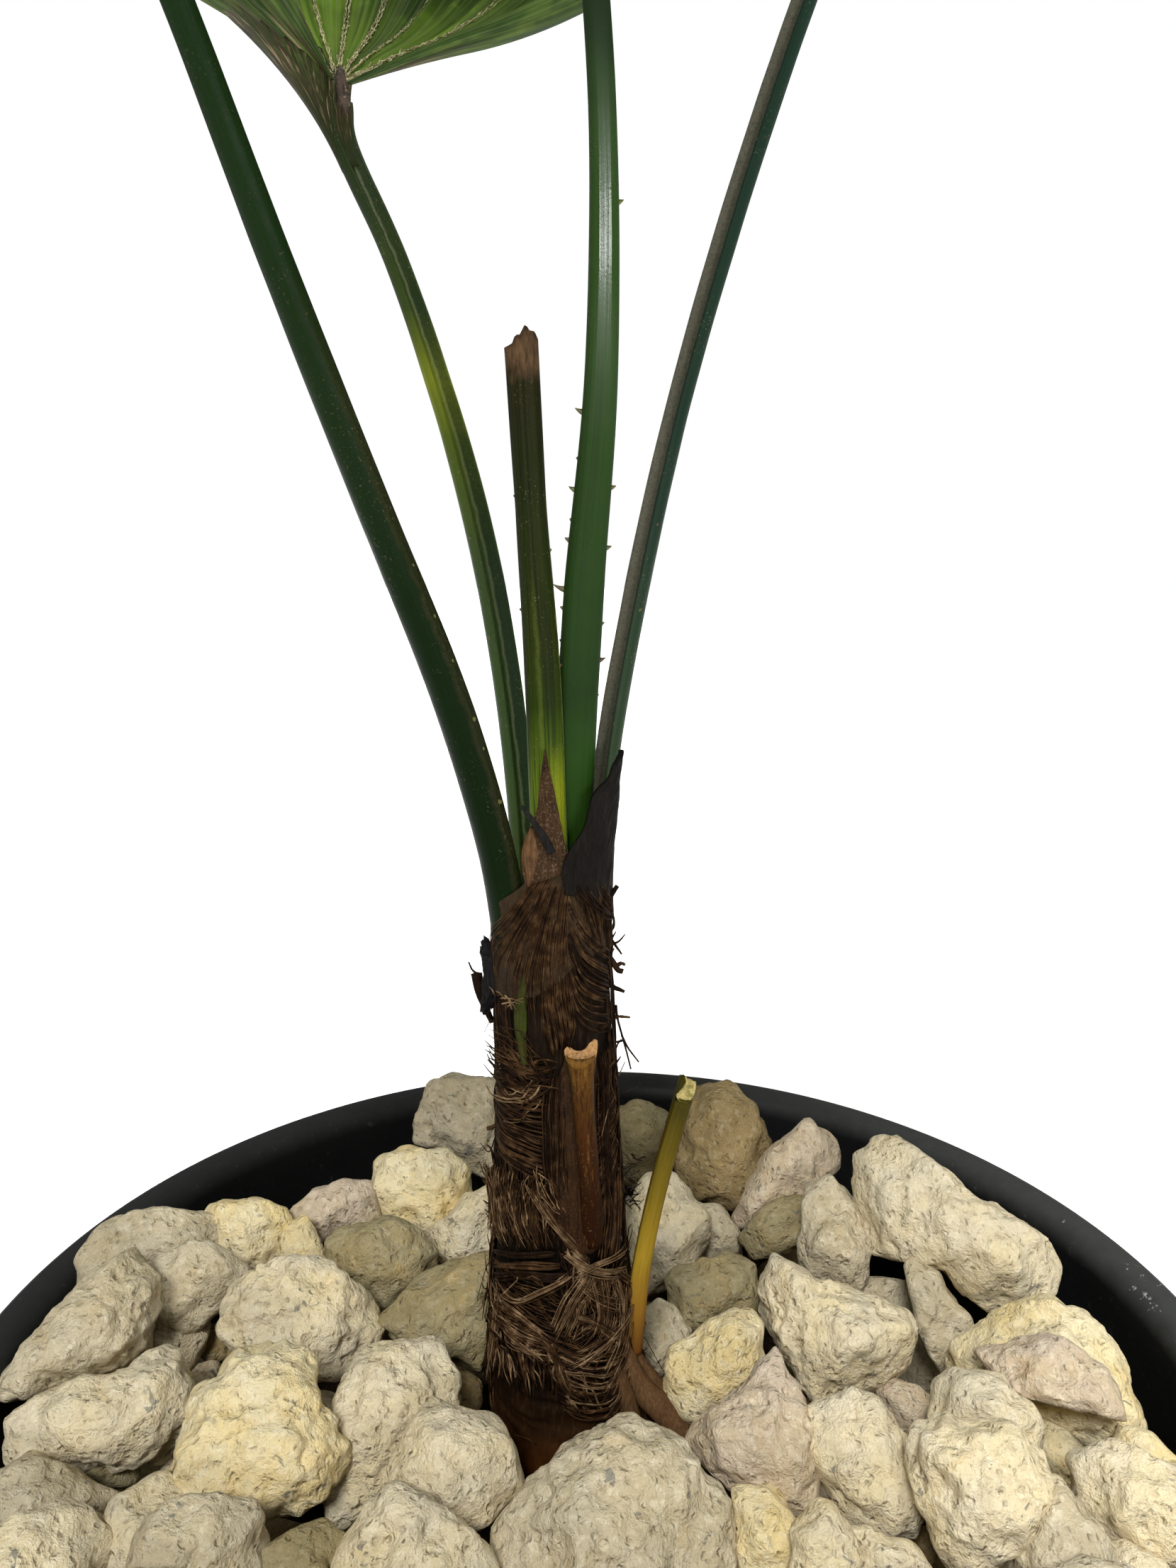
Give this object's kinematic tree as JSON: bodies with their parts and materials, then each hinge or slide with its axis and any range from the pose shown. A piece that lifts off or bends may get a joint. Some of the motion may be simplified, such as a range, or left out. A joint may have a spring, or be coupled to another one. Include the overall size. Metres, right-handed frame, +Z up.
{
  "type": "potted mapu licuala palm",
  "caption": "Small fan palm with round pleated mottled leaves on slender petioles above a fibre-wrapped trunk, in a round dark pot topped with pumice.",
  "frame": {"origin": "centre of the pot's flat underside", "axes": "+Z up along the pot's axis and the trunk, +X to the viewer's right, +Y away from the viewer"},
  "size_m": [0.3441, 0.2953, 0.4615],
  "materials": {
    "pot": "satin",
    "potting_mix": "matte",
    "pumice": "matte",
    "trunk": "matte",
    "sheath_brown": "matte",
    "sheath_dark": "matte",
    "petiole": "satin",
    "petiole_cut": "satin",
    "stub": "matte",
    "leaf": "satin"
  },
  "bodies": {
    "root": {"pot": "pot", "potting_mix": "potting_mix", "pumice_topdressing": "pumice", "trunk": "trunk", "sheath_front": "sheath_brown", "sheath_right": "sheath_dark", "sheath_remnant_left": "sheath_dark", "petiole_left": "petiole", "petiole_back_left": "petiole", "petiole_centre": "petiole", "petiole_right": "petiole", "cut_petiole_tall": "petiole_cut", "cut_stub_front": "stub", "cut_stub_right": "stub", "blade_left": "leaf", "blade_back_left": "leaf", "blade_centre": "leaf", "blade_right": "leaf"}
  },
  "joints": []
}
